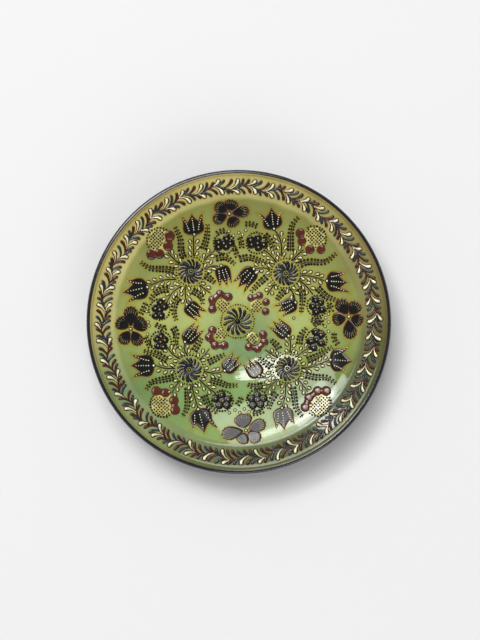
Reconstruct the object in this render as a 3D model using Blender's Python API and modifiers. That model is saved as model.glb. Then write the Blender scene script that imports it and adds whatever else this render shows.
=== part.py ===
"""Hand painted ceramic plate: a thrown dish with raised slip decoration.

The dish is one turned body on a foot ring. Everything else is a deposit laid on
it by hand: the dark band on the lip, the garland on the flange, and the flowers,
tulips, berries and wheels in the well. Metres, +Z up, origin at the middle of
the foot ring's resting face.
"""
import math

import bmesh
import bpy
from mathutils import Vector

MM = 0.001

# Driving dimensions of the dish.
OUTER_RADIUS = 160 * MM
LIP_RADIUS = 3.0 * MM
LIP_CENTRE_HEIGHT = 34.0 * MM
RIDGE_RADIUS = 130.6 * MM
RIDGE_HEIGHT = 30.0 * MM
FLOOR_HEIGHT = 11.0 * MM
WELL_CURVE = 3.2
FLANGE_SLOPE = math.tan(math.radians(9.0))
WALL = 7.0 * MM
FOOT_OUTER_RADIUS = 52 * MM
FOOT_INNER_RADIUS = 46 * MM
FOOT_DEPTH = 4.0 * MM
TURNED_STEPS = 64

# Deposits laid on the dish: the gap that keeps two fired layers apart, and how
# proud each kind of deposit stands.
GAP = 0.3 * MM
BAND_THICKNESS = 0.9 * MM
SLIP = 0.7 * MM
BERRY = 1.6 * MM

# Garland on the flange: a wavy stem with leaves on both sides, in eight pieces.
GARLAND_PIECES = 8
GARLAND_RADIUS = 144.5 * MM
GARLAND_WAVE = 2.5 * MM
GARLAND_WAVES = 26
GARLAND_TIP_OUT = 152.4 * MM
GARLAND_TIP_IN = 134.2 * MM
STEM_HALF_WIDTH = 0.7 * MM
LEAVES_PER_PIECE = 19


def clear_scene():
    """Start from an empty file."""
    for leftover in list(bpy.data.objects):
        bpy.data.objects.remove(leftover, do_unlink=True)


def fired(name, colour, roughness):
    """A glazed or slip-painted finish."""
    material = bpy.data.materials.new(name)
    material.use_nodes = True
    shader = material.node_tree.nodes["Principled BSDF"]
    shader.inputs["Base Color"].default_value = (*colour, 1.0)
    shader.inputs["Roughness"].default_value = roughness
    shader.inputs["Metallic"].default_value = 0.0
    return material


def dish_height(radius):
    """Height of the dish's upper face: a power curve in the well, then the flange."""
    if radius <= RIDGE_RADIUS:
        rise = (radius / RIDGE_RADIUS) ** WELL_CURVE
        return FLOOR_HEIGHT + (RIDGE_HEIGHT - FLOOR_HEIGHT) * rise
    return RIDGE_HEIGHT + (radius - RIDGE_RADIUS) * FLANGE_SLOPE


def lip_arc(radius, start, end, steps):
    """Points of an arc about the lip's centre, angles in degrees."""
    centre_x = OUTER_RADIUS - LIP_RADIUS
    points = []
    for step in range(steps + 1):
        angle = math.radians(start + (end - start) * step / steps)
        x = centre_x + radius * math.cos(angle)
        z = LIP_CENTRE_HEIGHT + radius * math.sin(angle)
        points.append((x, z))
    return points


def turned(name, profile, closed, material, collection):
    """A turned solid: the profile spun about the plate's axis."""
    mesh = bpy.data.meshes.new(name)
    shape = bmesh.new()
    points = [shape.verts.new((x, 0.0, z)) for x, z in profile]
    for first, second in zip(points, points[1:]):
        shape.edges.new((first, second))
    if closed:
        shape.edges.new((points[-1], points[0]))
    shape.to_mesh(mesh)
    shape.free()
    piece = bpy.data.objects.new(name, mesh)
    piece.data.materials.append(material)
    collection.objects.link(piece)
    screw = piece.modifiers.new("Turn", "SCREW")
    screw.steps = TURNED_STEPS
    screw.render_steps = TURNED_STEPS
    screw.use_merge_vertices = True
    screw.merge_threshold = 0.00001
    screw.use_smooth_shade = True
    return piece


def plate_body(material, collection):
    """The thrown dish with its turned foot ring and the core of its lip."""
    core = LIP_RADIUS - BAND_THICKNESS - GAP
    top_radii = [0, 25, 44, 60, 74, 87, 99, 110, 120, 130.6, 154]
    profile = [(r * MM, dish_height(r * MM)) for r in top_radii]
    profile += lip_arc(core, 165, -60, 5)
    for r in (146, 132, 115, 95, 73):
        profile.append((r * MM, dish_height(r * MM) - WALL))
    profile.append((FOOT_OUTER_RADIUS, FOOT_DEPTH))
    profile.append((FOOT_OUTER_RADIUS - 1.5 * MM, 0.0))
    profile.append((FOOT_INNER_RADIUS, 0.0))
    profile.append((FOOT_INNER_RADIUS - 1.5 * MM, FOOT_DEPTH))
    profile.append((0.0, FOOT_DEPTH))
    return turned("plate_body", profile, False, material, collection)


def rim_band(material, collection):
    """The dark band that covers the lip."""
    outer = lip_arc(LIP_RADIUS, 168, -48, 7)
    inner = lip_arc(LIP_RADIUS - BAND_THICKNESS, -48, 168, 6)
    return turned("rim_band", outer + inner, True, material, collection)


def laid_slip(name, outline, thickness, material, collection):
    """A patch of slip: a flat outline filled, laid on the dish and given its thickness."""
    curve = bpy.data.curves.new(name, "CURVE")
    curve.dimensions = "2D"
    curve.fill_mode = "BOTH"
    spline = curve.splines.new("POLY")
    spline.points.add(len(outline) - 1)
    for point, (x, y) in zip(spline.points, outline):
        point.co = (x, y, 0.0, 1.0)
    spline.use_cyclic_u = True
    guide = bpy.data.objects.new(name + "_outline", curve)
    collection.objects.link(guide)
    evaluated = guide.evaluated_get(bpy.context.evaluated_depsgraph_get())
    mesh = bpy.data.meshes.new_from_object(evaluated)
    bpy.data.objects.remove(guide, do_unlink=True)
    mesh.name = name

    patch = bmesh.new()
    patch.from_mesh(mesh)
    bmesh.ops.remove_doubles(patch, verts=patch.verts, dist=0.000001)
    bmesh.ops.triangulate(patch, faces=patch.faces)
    bmesh.ops.recalc_face_normals(patch, faces=patch.faces)
    if sum(face.normal.z * face.calc_area() for face in patch.faces) < 0:
        bmesh.ops.reverse_faces(patch, faces=patch.faces)
    for vertex in patch.verts:
        radius = math.hypot(vertex.co.x, vertex.co.y)
        vertex.co.z = dish_height(radius) + GAP
    patch.to_mesh(mesh)
    patch.free()

    mesh.materials.clear()
    mesh.materials.append(material)
    piece = bpy.data.objects.new(name, mesh)
    collection.objects.link(piece)
    coat = piece.modifiers.new("Thickness", "SOLIDIFY")
    coat.thickness = thickness
    coat.offset = 1.0
    return piece


def place(points, base, heading):
    """Turn points to a heading in degrees and set them at a base in millimetres."""
    cosine = math.cos(math.radians(heading))
    sine = math.sin(math.radians(heading))
    placed = []
    for along, across in points:
        x = base[0] + along * cosine - across * sine
        y = base[1] + along * sine + across * cosine
        placed.append((x * MM, y * MM))
    return placed


def tulip_outline(base, heading, length, width):
    """A tulip head seen from the side: a cup that ends in three pointed petals."""
    half = [(0.0, 0.05), (0.04, 0.2), (0.18, 0.4), (0.38, 0.5), (0.62, 0.47),
            (0.82, 0.43), (1.0, 0.46), (0.86, 0.26), (0.76, 0.17)]
    points = [(u * length, v * width) for u, v in half]
    points.append((0.96 * length, 0.0))
    points += [(u * length, -v * width) for u, v in reversed(half)]
    return place(points, base, heading)


def polar_outline(centre, reach_x, reach_y, count, depth, turn, points, sharpness=1.0):
    """A rosette outline: count petals, cut in to depth of the reach between them."""
    outline = []
    for step in range(points):
        angle = 2 * math.pi * step / points
        wave = abs(math.cos(count * angle / 2)) ** sharpness
        swell = depth + (1 - depth) * wave
        direction = angle + math.radians(turn)
        x = centre[0] + reach_x * swell * math.cos(direction)
        y = centre[1] + reach_y * swell * math.sin(direction)
        outline.append((x * MM, y * MM))
    return outline


def sawtooth_outline(centre, reach, count, root, turn):
    """A wheel of curved petals: each rises slowly, leans over and drops back."""
    tooth = [(0.0, root), (0.35, 0.75), (0.75, 1.0), (1.02, 0.86), (0.9, 0.6)]
    outline = []
    for petal in range(count):
        for part, swell in tooth:
            angle = math.radians(turn) + 2 * math.pi * (petal + part) / count
            x = centre[0] + reach * swell * math.cos(angle)
            y = centre[1] + reach * swell * math.sin(angle)
            outline.append((x * MM, y * MM))
    return outline


def bead_chain(beads, radius, neck):
    """Berries in a row, each run into the next by a narrow neck."""
    stations = []
    for first, second in zip(beads, beads[1:]):
        start, end = Vector(first), Vector(second)
        for part in (0.0, 0.42, 0.5, 0.58):
            spot = start.lerp(end, part)
            away = min((spot - start).length, (spot - end).length)
            half = math.sqrt(max(radius ** 2 - away ** 2, neck ** 2))
            stations.append((spot, half))
    stations.append((Vector(beads[-1]), radius))

    left, right = [], []
    for index, (spot, half) in enumerate(stations):
        before = stations[max(index - 1, 0)][0]
        after = stations[min(index + 1, len(stations) - 1)][0]
        forward = (after - before).normalized()
        side = Vector((-forward.y, forward.x))
        left.append(spot + side * half)
        right.append(spot - side * half)

    def round_end(spot, towards):
        start = math.atan2(towards.y, towards.x)
        turns = [start + math.pi / 2 - math.pi * step / 5 for step in range(1, 5)]
        return [spot + radius * Vector((math.cos(t), math.sin(t))) for t in turns]

    head = round_end(Vector(beads[-1]), Vector(beads[-1]) - Vector(beads[-2]))
    tail = round_end(Vector(beads[0]), Vector(beads[0]) - Vector(beads[1]))
    loop = left + head + right[::-1] + tail
    return [(point.x * MM, point.y * MM) for point in loop]


def garland_outline(piece):
    """One eighth of the garland: the wavy stem with leaves leaning clockwise."""
    span = 2 * math.pi / GARLAND_PIECES
    spare = GAP * 2 / GARLAND_RADIUS
    start = math.pi / 2 - piece * span - spare
    pitch = (span - 2 * spare) / LEAVES_PER_PIECE

    def stem(angle):
        return GARLAND_RADIUS + GARLAND_WAVE * math.sin(GARLAND_WAVES * angle)

    outer, inner = [], []
    for leaf in range(LEAVES_PER_PIECE):
        root = start - leaf * pitch
        for part, reach in ((0.0, 0.0), (0.55, 0.95), (0.85, 0.9)):
            angle = root - part * pitch
            foot = stem(angle) + STEM_HALF_WIDTH
            outer.append((angle, foot + reach * (GARLAND_TIP_OUT - foot)))
            foot = stem(angle) - STEM_HALF_WIDTH
            inner.append((angle, foot + reach * (GARLAND_TIP_IN - foot)))
    finish = start - LEAVES_PER_PIECE * pitch
    outer.append((finish, stem(finish) + STEM_HALF_WIDTH))
    inner.append((finish, stem(finish) - STEM_HALF_WIDTH))
    loop = outer + inner[::-1]
    return [(r * math.cos(angle), r * math.sin(angle)) for angle, r in loop]


# Where each motif is painted, in millimetres from the plate's middle.
WHEELS = {
    "wheel_north_west": (-51, 54),
    "wheel_north_east": (50, 52),
    "wheel_south_west": (-52.5, -50.5),
    "wheel_south_east": (51.5, -49),
}
WHEEL_REACH = 14
WHEEL_PETALS = 13

# Base of the cup, heading of its middle petal, length, width.
TULIPS = {
    "tulip_outer_north_west_top": ((-47, 92), 96, 24, 23),
    "tulip_outer_north_west_side": ((-96, 37), 198, 25.5, 23),
    "tulip_outer_north_east_top": ((37.5, 98), 98, 23, 22),
    "tulip_outer_north_east_side": ((92.5, 43.5), -4, 24, 23),
    "tulip_outer_south_east_side": ((96, -40), -3, 23, 25),
    "tulip_outer_south_east_top": ((45.5, -90), -84, 26, 23),
    "tulip_outer_south_west_side": ((-89, -46), 181, 26, 25),
    "tulip_outer_south_west_top": ((-43, -91.5), -76, 26, 24),
    "tulip_inner_north_west": ((-19, 61), -77, 22.5, 17),
    "tulip_inner_north_east": ((16.5, 57.5), -129, 26, 18),
    "tulip_inner_west_upper": ((-56, 19.5), -42, 22.5, 17),
    "tulip_inner_west_lower": ((-57.5, -21.5), 51, 23, 17),
    "tulip_inner_east_upper": ((61, 21.5), 204, 23, 16.5),
    "tulip_inner_east_lower": ((53.5, -15), 140, 22, 17),
    "tulip_inner_south_west": ((-15.5, -52), 46, 21.5, 17),
    "tulip_inner_south_east": ((22, -58), 122, 22, 18),
}

# Middle of the flower, reach across the plate's X and Y, heading of one petal.
FLOWERS = {
    "flower_north": ((-9, 113.5), 20, 15.8, 77),
    "flower_east": ((114, 5), 15.8, 20, 60),
    "flower_south": ((6.5, -114), 21, 16, 95),
    "flower_west": ((-114, -6.5), 15.5, 20.5, 90),
}

STARS = {
    "star_north_west": (-16, 84),
    "star_north_east": (19.5, 84),
    "star_west_upper": (-84, 13.5),
    "star_west_lower": (-83, -20),
    "star_east_upper": (83, 17),
    "star_east_lower": (82, -18.5),
    "star_south_west": (-17, -83),
    "star_south_east": (19.5, -82.5),
}
STAR_REACH = 10.5

BERRIES = {
    "berries_inner_north_west": ([(-28, 13.5), (-28.5, 22.5), (-20, 29.5), (-11, 27)], 4.7),
    "berries_inner_north_east": ([(13, 25.5), (22, 28.5), (28.5, 21), (28, 11.5)], 4.4),
    "berries_inner_south_east": ([(26, -13), (27, -21), (20, -28), (11, -26)], 4.6),
    "berries_inner_south_west": ([(-28, -8), (-32, -15.5), (-25, -24.5), (-16, -23.5)], 4.7),
    "berries_outer_north_west": ([(-73, 91), (-75, 80), (-84, 72.5), (-93, 71.5)], 5.0),
    "berries_outer_north_east": ([(65, 94), (67, 85.5), (75.5, 77.5), (86, 76.5)], 4.6),
    "berries_outer_south_west": ([(-87, -73), (-77.5, -75), (-68.5, -83), (-67, -93)], 4.8),
    "berries_outer_south_east": ([(92, -73), (83, -73), (74, -80), (70, -90)], 4.7),
}
BERRY_NECK = 1.6


def build():
    clear_scene()
    collection = bpy.data.collections.new("hand_painted_plate")
    bpy.context.scene.collection.children.link(collection)

    green = fired("green_glaze", (0.36, 0.39, 0.12), 0.12)
    black = fired("black_rim", (0.012, 0.014, 0.018), 0.15)
    dark = fired("dark_slip", (0.016, 0.018, 0.022), 0.18)
    brown = fired("brown_slip", (0.085, 0.020, 0.008), 0.18)

    plate_body(green, collection)
    rim_band(black, collection)
    for piece in range(GARLAND_PIECES):
        name = "garland_" + str(piece + 1)
        laid_slip(name, garland_outline(piece), SLIP, brown, collection)

    centre = sawtooth_outline((-1.3, 1.0), 16.0, 12, 0.45, 0)
    laid_slip("centre_rosette", centre, SLIP, dark, collection)
    for name, middle in WHEELS.items():
        outline = sawtooth_outline(middle, WHEEL_REACH, WHEEL_PETALS, 0.5, 0)
        laid_slip(name, outline, SLIP, dark, collection)
    for name, (base, heading, length, width) in TULIPS.items():
        outline = tulip_outline(base, heading, length, width)
        laid_slip(name, outline, SLIP, dark, collection)
    for name, (middle, reach_x, reach_y, turn) in FLOWERS.items():
        outline = polar_outline(middle, reach_x, reach_y, 5, 0.2, turn, 50, 0.6)
        laid_slip(name, outline, SLIP, dark, collection)
    for name, middle in STARS.items():
        outline = polar_outline(middle, STAR_REACH, STAR_REACH, 5, 0.62, 90, 30)
        laid_slip(name, outline, SLIP, dark, collection)
    for name, (beads, radius) in BERRIES.items():
        outline = bead_chain(beads, radius, BERRY_NECK)
        laid_slip(name, outline, BERRY, brown, collection)


build()
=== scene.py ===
import math
import random

import bmesh
import bpy
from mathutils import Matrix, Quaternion, Vector
from mathutils.geometry import delaunay_2d_cdt
from mathutils.kdtree import KDTree


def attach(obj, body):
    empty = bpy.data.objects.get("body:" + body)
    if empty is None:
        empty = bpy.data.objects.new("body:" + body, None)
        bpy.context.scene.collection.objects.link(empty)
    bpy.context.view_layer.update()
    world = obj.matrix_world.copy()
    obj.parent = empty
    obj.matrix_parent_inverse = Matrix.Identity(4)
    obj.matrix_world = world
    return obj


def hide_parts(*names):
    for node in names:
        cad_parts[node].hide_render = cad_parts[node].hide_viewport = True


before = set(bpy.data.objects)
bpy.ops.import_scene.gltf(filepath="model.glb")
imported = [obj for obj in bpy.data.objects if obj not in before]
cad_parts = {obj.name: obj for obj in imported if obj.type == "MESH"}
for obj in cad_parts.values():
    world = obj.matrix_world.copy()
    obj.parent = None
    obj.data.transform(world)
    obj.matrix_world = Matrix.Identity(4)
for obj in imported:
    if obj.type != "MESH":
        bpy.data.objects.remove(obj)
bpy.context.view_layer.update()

# ---------------------------------------------------------------------------
# The thrown dish: one wheel-thrown piece of red clay with a shallow well, a
# flat flange and a turned foot ring. It is dipped in an olive green glaze on
# its upper face and a dark one below, and the foot's resting face is left bare.
MM = 0.001
OUTER_RADIUS = 160 * MM
LIP_RADIUS = 3.0 * MM
LIP_CENTRE_HEIGHT = 34.0 * MM
RIDGE_RADIUS = 130.6 * MM
RIDGE_HEIGHT = 30.0 * MM
FLOOR_HEIGHT = 11.0 * MM
WELL_CURVE = 3.2
FLANGE_SLOPE = math.tan(math.radians(9.0))
WALL = 7.0 * MM
FOOT_OUTER_RADIUS = 52 * MM
FOOT_INNER_RADIUS = 46 * MM
FOOT_DEPTH = 4.0 * MM
UPTURN_RADIUS = 150 * MM
UPTURN = 0.028 / MM
DISH_STEPS = 384
UPPER_FACE_END = 154 * MM
UPPER_FACE_STEPS = 118
UNDERSIDE = (146, 141, 136, 132, 128, 124, 119, 114, 108, 102, 96, 90, 84, 78, 72, 66, 60, 55)
FOOT_FILLET = 1.5 * MM
LIP_START = 157 * MM
BARE_BELOW = 0.9 * MM
BAND_STEP = 0.25 * MM


def dish_height(radius):
    """Height of the upper face: a power curve in the well, then the flange, which turns up to the lip."""
    if radius <= RIDGE_RADIUS:
        rise = (radius / RIDGE_RADIUS) ** WELL_CURVE
        return FLOOR_HEIGHT + (RIDGE_HEIGHT - FLOOR_HEIGHT) * rise
    upturn = UPTURN * max(radius - UPTURN_RADIUS, 0.0) ** 2
    return RIDGE_HEIGHT + (radius - RIDGE_RADIUS) * FLANGE_SLOPE + upturn


def arc(centre, radius, start, end, steps):
    """Points of an arc in the profile's plane, angles in degrees."""
    points = []
    for step in range(steps + 1):
        angle = math.radians(start + (end - start) * step / steps)
        points.append((centre[0] + radius * math.cos(angle), centre[1] + radius * math.sin(angle)))
    return points


def add_object(name, data):
    """A new object in the scene."""
    piece = bpy.data.objects.new(name, data)
    bpy.context.scene.collection.objects.link(piece)
    return piece


def settle(piece):
    """Makes what a piece's modifiers give into its own plain mesh."""
    finished = bpy.data.meshes.new_from_object(piece.evaluated_get(bpy.context.evaluated_depsgraph_get()))
    piece.modifiers.clear()
    piece.data = finished


def turned(name, profile, closed):
    """A profile spun about the plate's axis, as a plain closed mesh."""
    mesh = bpy.data.meshes.new(name)
    shape = bmesh.new()
    points = [shape.verts.new((x, 0.0, z)) for x, z in profile]
    for first, second in zip(points, points[1:] + points[:1] if closed else points[1:]):
        shape.edges.new((first, second))
    shape.to_mesh(mesh)
    shape.free()
    piece = add_object(name, mesh)
    screw = piece.modifiers.new("turn", "SCREW")
    screw.steps = screw.render_steps = DISH_STEPS
    screw.use_merge_vertices = True
    screw.merge_threshold = 0.00001
    settle(piece)
    piece.data.shade_smooth()
    return piece


def feed(tree, node, inputs):
    """Sets a node's inputs, each from a socket or to a value of its own."""
    for key, value in inputs.items():
        if isinstance(value, bpy.types.NodeSocket):
            tree.links.new(value, node.inputs[key])
        else:
            node.inputs[key].default_value = value


def add_node(tree, kind, inputs, **settings):
    """A new node with its settings and its inputs."""
    node = tree.nodes.new(kind)
    for key, value in settings.items():
        setattr(node, key, value)
    feed(tree, node, inputs)
    return node


def shader_nodes(name):
    """A new node material: its tree, its shader and a place to look up colours by object place."""
    material = bpy.data.materials.new(name)
    material.use_nodes = True
    tree = material.node_tree
    place = tree.nodes.new("ShaderNodeTexCoord").outputs["Object"]
    return material, tree, tree.nodes["Principled BSDF"], place


def noise(tree, place, scale, detail=3.0, roughness=0.5):
    """A 3-D noise, scale in lumps per metre."""
    inputs = {"Scale": scale, "Detail": detail, "Roughness": roughness, "Vector": place}
    return add_node(tree, "ShaderNodeTexNoise", inputs).outputs["Fac"]


def ramp(tree, value, stops):
    """Colours or greys along a value."""
    node = add_node(tree, "ShaderNodeValToRGB", {"Fac": value})
    elements = node.color_ramp.elements
    while len(elements) < len(stops):
        elements.new(0.5)
    for element, (position, colour) in zip(elements, stops):
        element.position = position
        element.color = (*colour, 1.0) if isinstance(colour, tuple) else (colour, colour, colour, 1.0)
    return node.outputs["Color"]


def mix(tree, share, first, second, blend="MIX"):
    """Two colours mixed by a share; each may be a socket or a plain colour."""
    first, second = [(*side, 1.0) if isinstance(side, tuple) else side for side in (first, second)]
    inputs = {0: share, 6: first, 7: second}
    return add_node(tree, "ShaderNodeMix", inputs, data_type="RGBA", blend_type=blend).outputs[2]


def tinted(tree, colour, tone):
    """A colour deepened or raised by a tone."""
    return mix(tree, 1.0, colour, tone, "MULTIPLY")


def bump(tree, shader, height, distance, strength):
    """Raises the surface by a height, and sends it to the shader's normal."""
    inputs = {"Strength": strength, "Distance": distance, "Height": height}
    feed(tree, shader, {"Normal": add_node(tree, "ShaderNodeBump", inputs).outputs["Normal"]})


def math_node(tree, operation, first, second):
    """One sum on two values; each may be a socket or a number."""
    return add_node(tree, "ShaderNodeMath", {0: first, 1: second}, operation=operation).outputs[0]


def scaled(tree, value, factor, offset):
    """A value times a factor, plus an offset."""
    return math_node(tree, "ADD", math_node(tree, "MULTIPLY", value, factor), offset)


def wander(tree, place, scale, reach):
    """A value that drifts by up to half the reach to either side of nothing."""
    return math_node(tree, "MULTIPLY", math_node(tree, "SUBTRACT", noise(tree, place, scale), 0.5), reach)


def radius_from_axis(tree, place):
    """Distance from the plate's axis, in metres."""
    flat = add_node(tree, "ShaderNodeVectorMath", {0: place, 1: (1.0, 1.0, 0.0)}, operation="MULTIPLY")
    return add_node(tree, "ShaderNodeVectorMath", {0: flat.outputs[0]}, operation="LENGTH").outputs["Value"]


ACROSS = 0.354 / OUTER_RADIUS
MIDDLE_SHADE = (12 * MM, -22 * MM, 0.0)
MIDDLE_SHADE_RADIUS = 48 * MM


def green_glaze():
    """Olive green in the well and yellower on the flange, with amber rings against the slip. It carries
    painted light
    and shade by direction: bluer to the south as painted reflection, and a patch of painted shade beside
    the middle."""
    material, tree, shader, place = shader_nodes("green_glaze")
    radius = radius_from_axis(tree, place)
    radius = math_node(tree, "ADD", radius, wander(tree, place, 60.0, 4 * MM))
    share = math_node(tree, "DIVIDE", radius, OUTER_RADIUS)
    ground = ramp(tree, share, [
        (0.0, (0.40, 0.46, 0.16)), (0.28, (0.38, 0.44, 0.145)), (0.50, (0.33, 0.38, 0.115)),
        (0.74, (0.25, 0.285, 0.08)), (0.80, (0.26, 0.275, 0.074)), (0.825, (0.44, 0.425, 0.165)),
        (0.93, (0.43, 0.41, 0.15)), (0.975, (0.36, 0.30, 0.08))])
    east, north, _ = add_node(tree, "ShaderNodeSeparateXYZ", {"Vector": place}).outputs
    # Painted light and shade from south to north: bluer towards the south edge as a painted reflection,
    # darker in a band south of the middle and on the well's north slope as painted shade, and lighter on
    # the north flange as painted light.
    ground = tinted(tree, ground, ramp(tree, scaled(tree, north, 0.5 / OUTER_RADIUS, 0.5), [
        (0.0, (0.78, 1.02, 1.15)), (0.13, (0.77, 1.0, 1.14)), (0.27, (0.53, 0.76, 0.88)),
        (0.5, (1.0, 1.03, 1.05)), (0.75, (0.96, 0.93, 0.90)), (0.90, (0.88, 0.85, 0.78)),
        (0.95, (1.14, 1.11, 1.08))]))
    # Painted shade: darker and bluer in a round patch just south-east of the middle.
    aside = add_node(tree, "ShaderNodeVectorMath", {0: place, 1: MIDDLE_SHADE}, operation="SUBTRACT")
    spread = math_node(tree, "DIVIDE", radius_from_axis(tree, aside.outputs[0]), MIDDLE_SHADE_RADIUS)
    ground = tinted(tree, ground, ramp(tree, spread, [(0.30, (0.58, 0.66, 0.78)), (1.0, (1.0, 1.0, 1.0))]))
    # Painted light and shade on the flange: lighter towards the north-west and darker towards the
    # south-east, as the light falls.
    north_west = scaled(tree, math_node(tree, "SUBTRACT", north, east), ACROSS, 0.5)
    flange_light_and_shade = ramp(tree, north_west, [(0.0, 0.36), (0.18, 0.37), (0.5, 0.88), (0.85, 1.08), (1.0, 1.2)])
    # Painted light in the well: paler towards the south-west.
    south_west = scaled(tree, math_node(tree, "ADD", north, east), -ACROSS, 0.5)
    well_painted_light = ramp(tree, south_west, [(0.5, 1.0), (0.8, 1.28)])
    on_flange = ramp(tree, share, [(0.79, 0.0), (0.82, 1.0)])
    ground = tinted(tree, ground, mix(tree, on_flange, well_painted_light, flange_light_and_shade))
    ground = tinted(tree, ground, ramp(tree, noise(tree, place, 24.0, 4.0), [(0.3, 0.86), (0.7, 1.12)]))
    fleck = ramp(tree, noise(tree, place, 900.0, 2.0), [(0.30, 0.80), (0.42, 1.0)])
    ground = mix(tree, 0.5, ground, tinted(tree, ground, fleck))
    # Amber rings against the slip: partly glaze pooled at its foot, partly painted shade round it; weaker
    # on the flange.
    pool = add_node(tree, "ShaderNodeAttribute", {}, attribute_name="pooled_and_shade").outputs["Fac"]
    depth = math_node(tree, "MULTIPLY", pool, ramp(tree, on_flange, [(0.0, 1.0), (1.0, 0.45)]))
    ground = mix(tree, depth, ground, tinted(tree, ground, (1.06, 0.80, 0.28)))
    feed(tree, shader, {"Base Color": ground, "Roughness": 0.05})
    rings = add_node(tree, "ShaderNodeTexWave", {"Scale": 60.0, "Distortion": 1.5, "Vector": place},
                     wave_type="RINGS", rings_direction="Z")
    height = mix(tree, 0.15, noise(tree, place, 90.0, 3.0), rings.outputs["Color"])
    bump(tree, shader, height, 0.00012, 0.28)
    return material


def dark_underglaze():
    """The dark glaze of the underside, streaked brown where it ran thin."""
    material, tree, shader, place = shader_nodes("dark_underside_glaze")
    colour = ramp(tree, noise(tree, place, 35.0, 5.0, 0.6), [
        (0.35, (0.012, 0.012, 0.014)), (0.6, (0.03, 0.017, 0.010)), (0.75, (0.075, 0.03, 0.012))])
    feed(tree, shader, {"Base Color": colour, "Roughness": 0.2, "Coat Weight": 0.6, "Coat Roughness": 0.08})
    bump(tree, shader, noise(tree, place, 120.0), 0.0002, 0.5)
    return material


def bare_clay():
    """Unglazed red clay, matt, with fine sand and a smear of slip."""
    material, tree, shader, place = shader_nodes("bare_red_clay")
    grain = noise(tree, place, 1500.0, 4.0, 0.7)
    smear = ramp(tree, noise(tree, place, 40.0), [(0.4, (0.42, 0.17, 0.075)), (0.62, (0.52, 0.25, 0.12))])
    colour = tinted(tree, smear, ramp(tree, grain, [(0.3, 0.75), (0.6, 1.05)]))
    feed(tree, shader, {"Base Color": colour, "Roughness": 0.85})
    bump(tree, shader, grain, 0.00015, 0.6)
    return material


face_radii = [step * UPPER_FACE_END / UPPER_FACE_STEPS for step in range(UPPER_FACE_STEPS + 1)]
profile = [(radius, dish_height(radius)) for radius in face_radii]
core_centre = (OUTER_RADIUS - LIP_RADIUS, LIP_CENTRE_HEIGHT)
profile += arc(core_centre, LIP_RADIUS - BAND_STEP, 168, -60, 26)
profile += [(radius * MM, dish_height(radius * MM) - WALL) for radius in UNDERSIDE]
profile += arc((FOOT_OUTER_RADIUS + FOOT_FILLET, FOOT_DEPTH + 1.1 * MM), FOOT_FILLET, -100, -180, 4)
profile += arc((FOOT_OUTER_RADIUS - 1.2 * MM, 1.2 * MM), 1.2 * MM, 0, -90, 4)
profile += arc((FOOT_INNER_RADIUS + 1.0 * MM, 1.0 * MM), 1.0 * MM, -90, -180, 4)
profile += arc((FOOT_INNER_RADIUS - FOOT_FILLET, FOOT_DEPTH - FOOT_FILLET), FOOT_FILLET, 0, 90, 4)
profile += [(30 * MM, FOOT_DEPTH), (15 * MM, FOOT_DEPTH), (0.0, FOOT_DEPTH)]
dish = turned("thrown_dish", profile, False)
for finish in (green_glaze(), dark_underglaze(), bare_clay()):
    dish.data.materials.append(finish)
for face in dish.data.polygons:
    middle = face.center
    radius = math.hypot(middle.x, middle.y)
    underside = face.normal.z < 0.15 and radius > 20 * MM or middle.z < FLOOR_HEIGHT - 1 * MM
    if underside or radius > LIP_START:
        face.material_index = 1
    if middle.z < BARE_BELOW:
        face.material_index = 2
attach(dish, "root")
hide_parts("plate_body")

# ---------------------------------------------------------------------------
# The lip band: blue-black glaze brushed over the lip, inside and out, while the
# dish turned on the wheel. It ends in a thin brown line where it thins out.
BAND_START = 108
BAND_END = -62
THIN_RADIUS = 155.5 * MM
THIN_WIDTH = 3 * MM


def black_rim():
    """Blue-black glaze, brown where it thins at the inner edge."""
    material, tree, shader, place = shader_nodes("black_rim_glaze")
    radius = math_node(tree, "ADD", radius_from_axis(tree, place), wander(tree, place, 90.0, 1.6 * MM))
    share = math_node(tree, "DIVIDE", math_node(tree, "SUBTRACT", radius, THIN_RADIUS), THIN_WIDTH)
    colour = ramp(tree, share, [(0.0, (0.10, 0.045, 0.012)), (0.25, (0.04, 0.014, 0.006)),
                                (0.5, (0.006, 0.007, 0.010)), (1.0, (0.004, 0.005, 0.007))])
    feed(tree, shader, {"Base Color": colour, "Roughness": 0.10, "IOR": 1.6})
    bump(tree, shader, noise(tree, place, 200.0), 0.00015, 0.6)
    return material


band_outer = arc(core_centre, LIP_RADIUS, BAND_START, BAND_END, 26)
band_inner = arc(core_centre, LIP_RADIUS - 2 * BAND_STEP, BAND_END, BAND_START + 4, 26)
band = turned("lip_band", band_outer + band_inner, True)
band.data.materials.append(black_rim())
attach(band, "root")
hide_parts("rim_band")

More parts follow.
